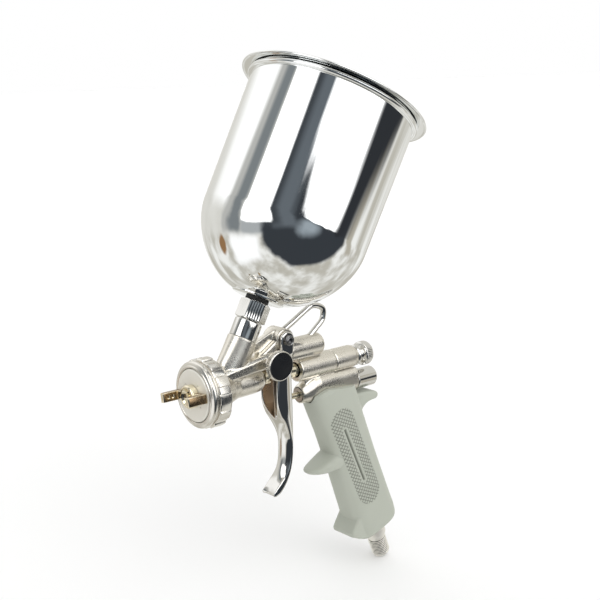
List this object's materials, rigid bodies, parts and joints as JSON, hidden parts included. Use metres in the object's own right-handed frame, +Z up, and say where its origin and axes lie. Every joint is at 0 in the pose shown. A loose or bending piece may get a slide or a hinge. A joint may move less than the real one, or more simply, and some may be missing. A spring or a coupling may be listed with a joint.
{
  "type": "hvlp spray gun",
  "caption": "Gravity-feed low-pressure spray gun with a leaning top cup, horned air cap, trigger, plastic grip, threaded air inlet and hanging hook.",
  "frame": {"origin": "inner crown of the hanging hook, where a peg holds the gun up", "axes": "+Z up with the gun held level and its cup above; -X is the way it sprays, along the fluid needle; Y = 0 is the plane of symmetry and +Y the gun's far side, away from the fan knob"},
  "size_m": [0.1892, 0.126, 0.3569],
  "materials": {
    "cast_nickel": "satin nickel plate",
    "bright_chrome": "polished chrome plate",
    "polished_aluminium": "mirror polished",
    "brass": "machined",
    "steel": "machined stainless",
    "black_chrome": "polished black plate",
    "grey_plastic": "fine matte",
    "white_ptfe": "smooth",
    "dark_rubber": "plain"
  },
  "bodies": {
    "gun": {"gun_body": "cast_nickel", "air_distributor": "steel", "fluid_nozzle": "brass", "inlet_fitting": "bright_chrome", "needle_packing": "white_ptfe", "packing_nut": "brass", "needle_spring": "steel", "needle_bushing": "cast_nickel", "valve_gland": "steel", "valve_packing": "white_ptfe", "valve_spring": "steel", "valve_plug": "bright_chrome", "pivot_bush": "steel", "pivot_screw": "steel", "pivot_nut": "steel", "fan_gland": "cast_nickel", "fan_seal": "dark_rubber", "grip": "grey_plastic", "air_tube": "steel", "inlet_gasket": "dark_rubber", "air_inlet": "cast_nickel", "hanging_hook": "cast_nickel"},
    "trigger": {"trigger": "bright_chrome"},
    "needle": {"fluid_needle": "steel", "needle_collar": "brass"},
    "air_valve": {"valve_stem": "brass", "valve_disc": "brass"},
    "fluid_control": {"fluid_knob": "cast_nickel"},
    "fan_control": {"fan_knob": "black_chrome", "fan_spindle": "steel"},
    "ring": {"cap_ring": "cast_nickel"},
    "air_cap": {"air_cap": "cast_nickel", "air_horns": "brass"},
    "cup": {"cup": "polished_aluminium", "cup_outlet": "steel", "cup_gasket": "dark_rubber", "strainer": "white_ptfe"},
    "cup_nut": {"cup_nut": "bright_chrome"},
    "lid": {"cup_lid": "polished_aluminium"},
    "vent_plug": {"lid_vent_plug": "dark_rubber"}
  },
  "joints": [
    {"name": "trigger_pull", "type": "hinge", "parent": "gun", "child": "trigger", "pos_m": [-0.034, 0, -0.0135], "axis": [0, -1, 0], "range_deg": [0, 10], "stiffness_Nm_per_rad": 1.2, "springref_deg": -5.73},
    {"name": "needle_slide", "type": "slide", "parent": "gun", "child": "needle", "axis": [1, 0, 0], "range_m": [0, 0.0045], "deforming": ["needle_spring"]},
    {"name": "valve_slide", "type": "slide", "parent": "gun", "child": "air_valve", "axis": [1, 0, 0], "range_m": [0, 0.0075], "deforming": ["valve_spring"]},
    {"name": "fluid_knob_turn", "type": "hinge", "parent": "gun", "child": "fluid_control", "pos_m": [-0.079, 0, -0.0375], "axis": [1, 0, 0], "range_deg": [-720, 720]},
    {"name": "fan_knob_turn", "type": "hinge", "parent": "gun", "child": "fan_control", "pos_m": [-0.047, 0, -0.0265], "axis": [0, -1, 0], "range_deg": [-180, 360]},
    {"name": "ring_turn", "type": "hinge", "parent": "gun", "child": "ring", "pos_m": [-0.079, 0, -0.0375], "axis": [1, 0, 0], "continuous": true},
    {"name": "air_cap_turn", "type": "hinge", "parent": "gun", "child": "air_cap", "pos_m": [-0.079, 0, -0.0375], "axis": [1, 0, 0], "range_deg": [-84.3, 95.7]},
    {"name": "cup_lift", "type": "slide", "parent": "gun", "child": "cup", "axis": [0.4939, 0, 0.8695], "range_m": [0, 0.04]},
    {"name": "cup_nut_turn", "type": "hinge", "parent": "cup", "child": "cup_nut", "pos_m": [-0.079, 0, -0.0375], "axis": [0.4939, 0, 0.8695], "continuous": true},
    {"name": "lid_lift", "type": "slide", "parent": "cup", "child": "lid", "axis": [0.4939, 0, 0.8695], "range_m": [0, 0.03]},
    {"name": "vent_plug_pull", "type": "slide", "parent": "lid", "child": "vent_plug", "axis": [0.4939, 0, 0.8695], "range_m": [0, 0.012]}
  ],
  "couplings": [
    {"joint": "needle_slide", "follows": "trigger_pull", "m_per_rad": 0.024},
    {"joint": "valve_slide", "follows": "trigger_pull", "m_per_rad": 0.0413}
  ]
}
